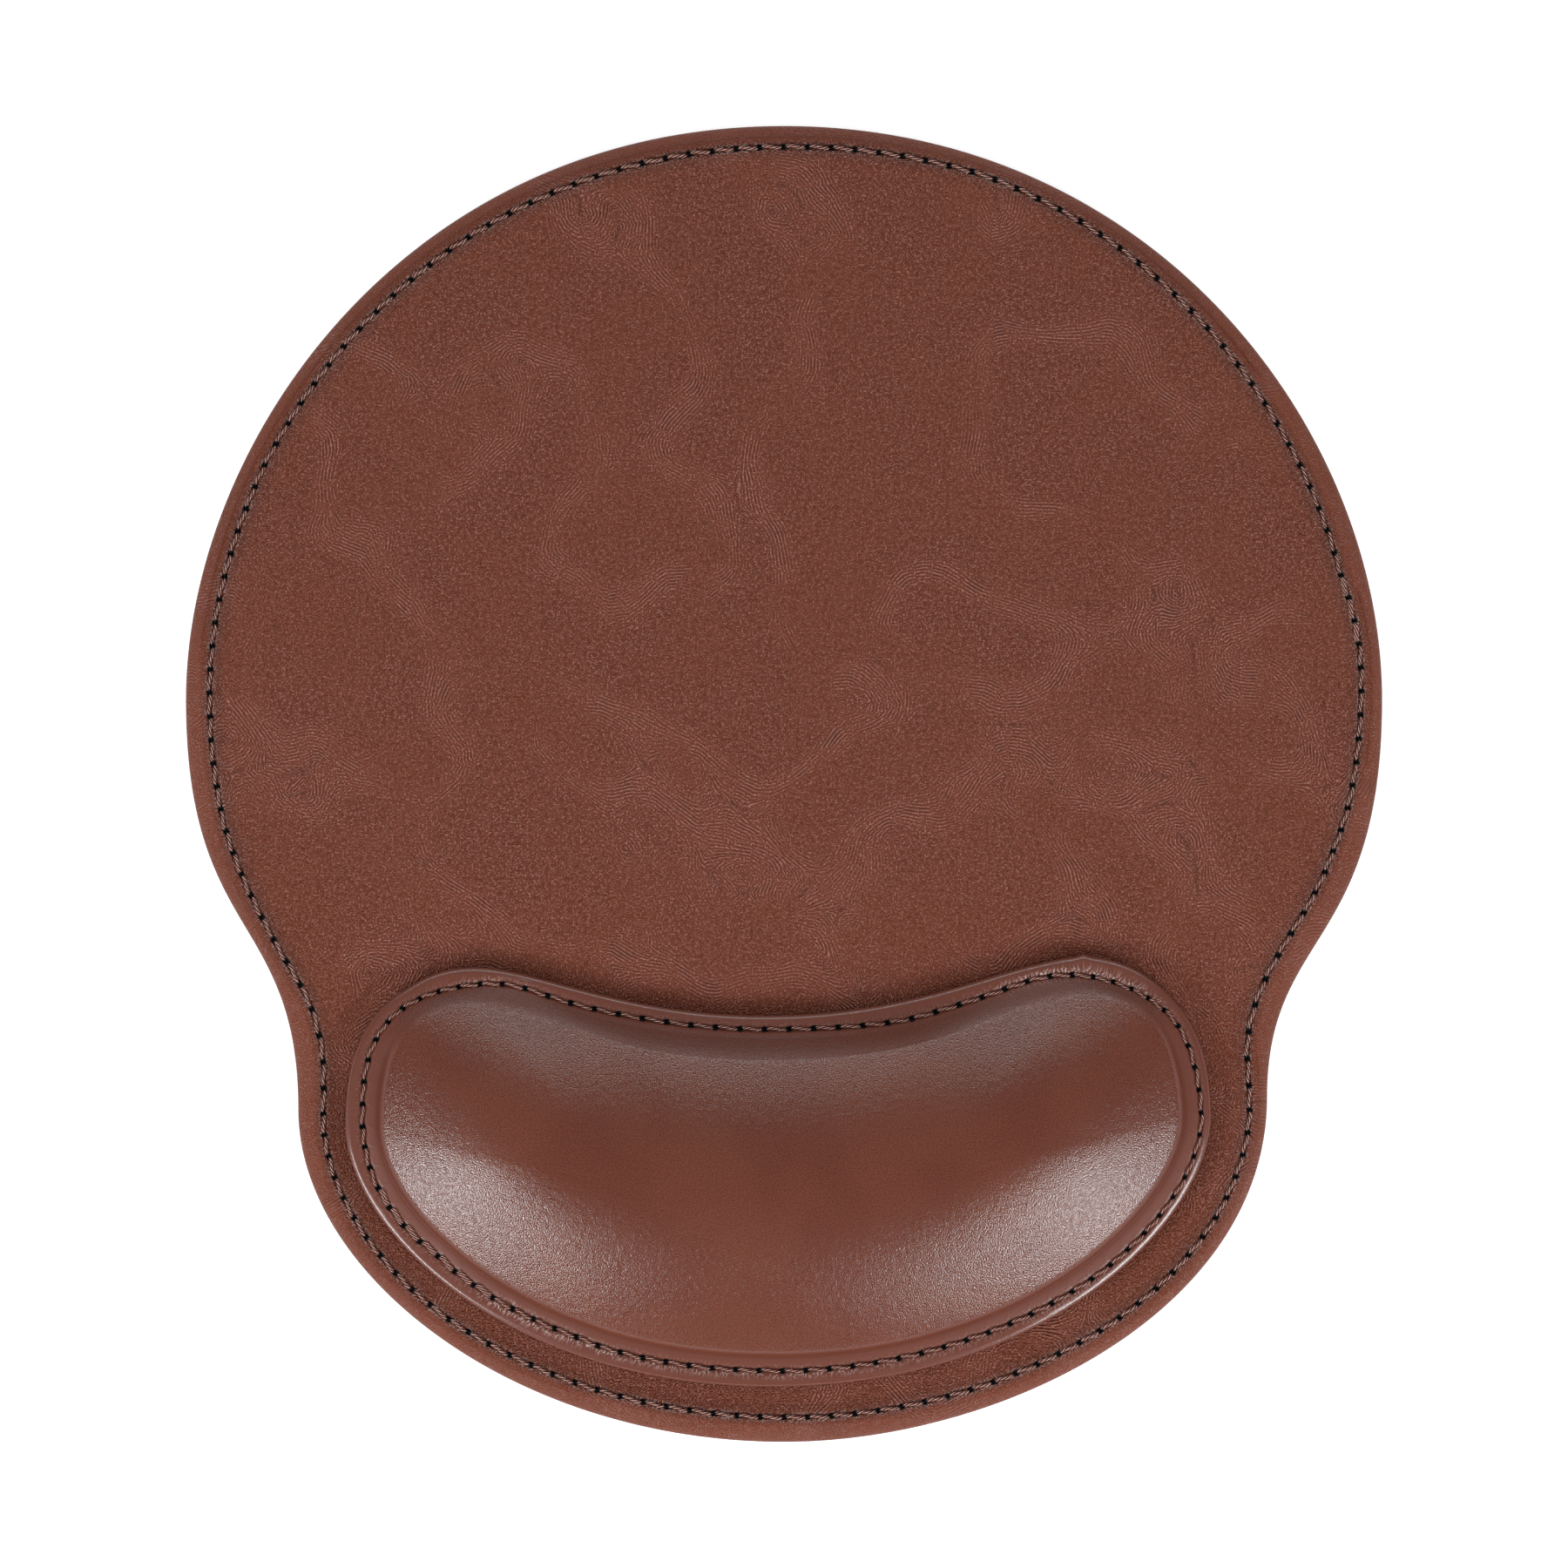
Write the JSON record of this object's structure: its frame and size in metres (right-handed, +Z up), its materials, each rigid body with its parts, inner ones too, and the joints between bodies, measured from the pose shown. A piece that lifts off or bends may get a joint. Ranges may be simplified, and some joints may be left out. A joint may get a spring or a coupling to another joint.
{
  "type": "mouse pad",
  "caption": "Stitched leather mouse pad with a round mousing area, a narrower front lobe and a crescent-shaped cushioned wrist rest.",
  "frame": {"origin": "middle of the box of the whole pad, on the desk surface under the non-slip base", "axes": "+Z up out of the desk, +Y from the wrist rest towards the back edge, +X to the right of the person using the pad"},
  "size_m": [0.23, 0.253, 0.02],
  "materials": {
    "pad_leather": "satin",
    "rest_leather": "satin",
    "thread": "matte",
    "base_rubber": "matte",
    "core_foam": "matte",
    "cushion_foam": "matte",
    "board": "matte",
    "backing_sheet": "matte",
    "bonding_film": "matte"
  },
  "bodies": {
    "root": {"non_slip_base": "base_rubber", "pad_core_sheet": "core_foam", "pad_leather_cover": "pad_leather", "pad_needle_thread": "thread", "pad_bobbin_thread": "thread", "rest_bonding_film": "bonding_film", "rest_backing_sheet": "backing_sheet", "rest_board": "board", "rest_foam_cushion": "cushion_foam", "rest_leather_cover": "rest_leather", "rest_needle_thread": "thread", "rest_bobbin_thread": "thread"}
  },
  "joints": []
}
